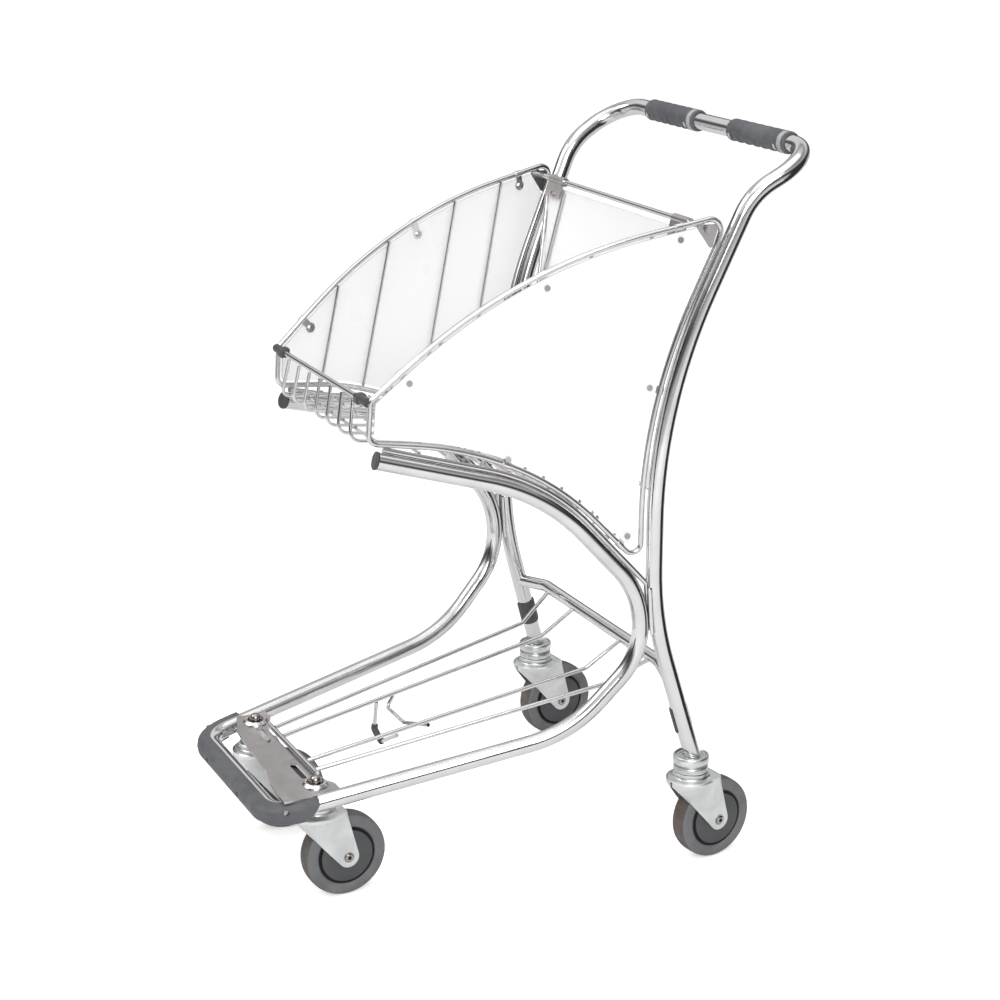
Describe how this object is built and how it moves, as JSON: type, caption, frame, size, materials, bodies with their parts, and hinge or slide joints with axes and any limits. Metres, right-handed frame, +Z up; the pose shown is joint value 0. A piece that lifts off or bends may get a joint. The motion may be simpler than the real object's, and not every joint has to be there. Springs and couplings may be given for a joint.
{
  "type": "airport luggage trolley",
  "caption": "Luggage trolley with a bent tube frame on swivel casters, a low wire deck, a raised basket with board sides and a swing-up gate, a wrap-round bumper and hand grips.",
  "frame": {"origin": "on the floor under the centre of the bounding box", "axes": "+Z up, -Y is the front, the user stands at +Y; +X is the user's left"},
  "size_m": [0.586, 0.8186, 1.0735],
  "materials": {
    "polished_tube": "polished stainless steel",
    "polished_wire": "polished stainless steel wire",
    "brushed_plate": "satin stainless sheet",
    "zinc_plate": "bright zinc plate",
    "dark_plastic": "matte",
    "grey_rubber": "matte",
    "light_plastic": "satin",
    "white_board": "satin white",
    "hub_plastic": "satin",
    "tyre_rubber": "matte"
  },
  "bodies": {
    "frame": {"base_tube_left": "polished_tube", "base_tube_right": "polished_tube", "base_tube_front": "polished_tube", "leg_tube_left": "polished_tube", "leg_tube_right": "polished_tube", "handlebar_tube": "polished_tube", "crossbar_tube": "polished_tube", "frame_welds": "polished_tube", "deck_rods": "polished_wire", "deck_cross_wire": "polished_wire", "deck_hooks": "polished_wire", "side_loop_left": "polished_wire", "side_loop_right": "polished_wire", "side_wires": "polished_wire", "basket_floor_wires": "polished_wire", "front_rail": "polished_wire", "hinge_rod": "polished_wire", "board_clips": "polished_wire", "board_screws": "polished_wire", "bumper_screws": "polished_wire", "cup_washers": "polished_wire", "dome_nuts": "polished_wire", "front_plate": "brushed_plate", "hinge_brackets": "brushed_plate", "caster_collars": "zinc_plate", "kingpins": "zinc_plate", "swivel_bearings": "zinc_plate", "tube_end_caps": "dark_plastic", "leg_clips": "dark_plastic", "rail_corner_joints": "dark_plastic", "bumper_rubber": "grey_rubber", "handle_grips": "grey_rubber", "hook_sleeve": "grey_rubber", "grip_end_rings": "light_plastic", "side_board_left": "white_board", "side_board_right": "white_board"},
    "gate": {"gate_frame": "polished_wire", "gate_board": "white_board", "gate_hangers": "brushed_plate", "gate_screws": "polished_wire"},
    "caster_front_left": {"fork_front_left": "zinc_plate", "axle_bolt_front_left": "zinc_plate", "axle_sleeve_front_left": "zinc_plate"},
    "wheel_front_left": {"wheel_core_front_left": "hub_plastic", "tyre_front_left": "tyre_rubber"},
    "caster_front_right": {"fork_front_right": "zinc_plate", "axle_bolt_front_right": "zinc_plate", "axle_sleeve_front_right": "zinc_plate"},
    "wheel_front_right": {"wheel_core_front_right": "hub_plastic", "tyre_front_right": "tyre_rubber"},
    "caster_rear_left": {"fork_rear_left": "zinc_plate", "axle_bolt_rear_left": "zinc_plate", "axle_sleeve_rear_left": "zinc_plate"},
    "wheel_rear_left": {"wheel_core_rear_left": "hub_plastic", "tyre_rear_left": "tyre_rubber"},
    "caster_rear_right": {"fork_rear_right": "zinc_plate", "axle_bolt_rear_right": "zinc_plate", "axle_sleeve_rear_right": "zinc_plate"},
    "wheel_rear_right": {"wheel_core_rear_right": "hub_plastic", "tyre_rear_right": "tyre_rubber"}
  },
  "joints": [
    {"name": "swivel_front_left", "type": "hinge", "parent": "frame", "child": "caster_front_left", "pos_m": [0.125, -0.316, 0.14], "axis": [0, 0, 1], "continuous": true},
    {"name": "spin_front_left", "type": "hinge", "parent": "caster_front_left", "child": "wheel_front_left", "pos_m": [0.12381, -0.27602, 0.0625], "axis": [0.9996, 0.0297, 0], "continuous": true},
    {"name": "swivel_front_right", "type": "hinge", "parent": "frame", "child": "caster_front_right", "pos_m": [-0.125, -0.316, 0.14], "axis": [0, 0, 1], "continuous": true},
    {"name": "spin_front_right", "type": "hinge", "parent": "caster_front_right", "child": "wheel_front_right", "pos_m": [-0.11957, -0.27637, 0.0625], "axis": [0.9907, -0.1357, 0], "continuous": true},
    {"name": "swivel_rear_left", "type": "hinge", "parent": "frame", "child": "caster_rear_left", "pos_m": [0.25599, 0.228, 0.14], "axis": [0, 0, 1], "continuous": true},
    {"name": "spin_rear_left", "type": "hinge", "parent": "caster_rear_left", "child": "wheel_rear_left", "pos_m": [0.25084, 0.26767, 0.0625], "axis": [0.9917, 0.1288, 0], "continuous": true},
    {"name": "swivel_rear_right", "type": "hinge", "parent": "frame", "child": "caster_rear_right", "pos_m": [-0.25599, 0.228, 0.14], "axis": [0, 0, 1], "continuous": true},
    {"name": "spin_rear_right", "type": "hinge", "parent": "caster_rear_right", "child": "wheel_rear_right", "pos_m": [-0.25996, 0.2678, 0.0625], "axis": [0.9951, 0.0993, 0], "continuous": true},
    {"name": "gate_swing", "type": "hinge", "parent": "frame", "child": "gate", "pos_m": [0, 0.23, 0.957], "axis": [-1, 0, 0], "range_deg": [0, 75]}
  ]
}
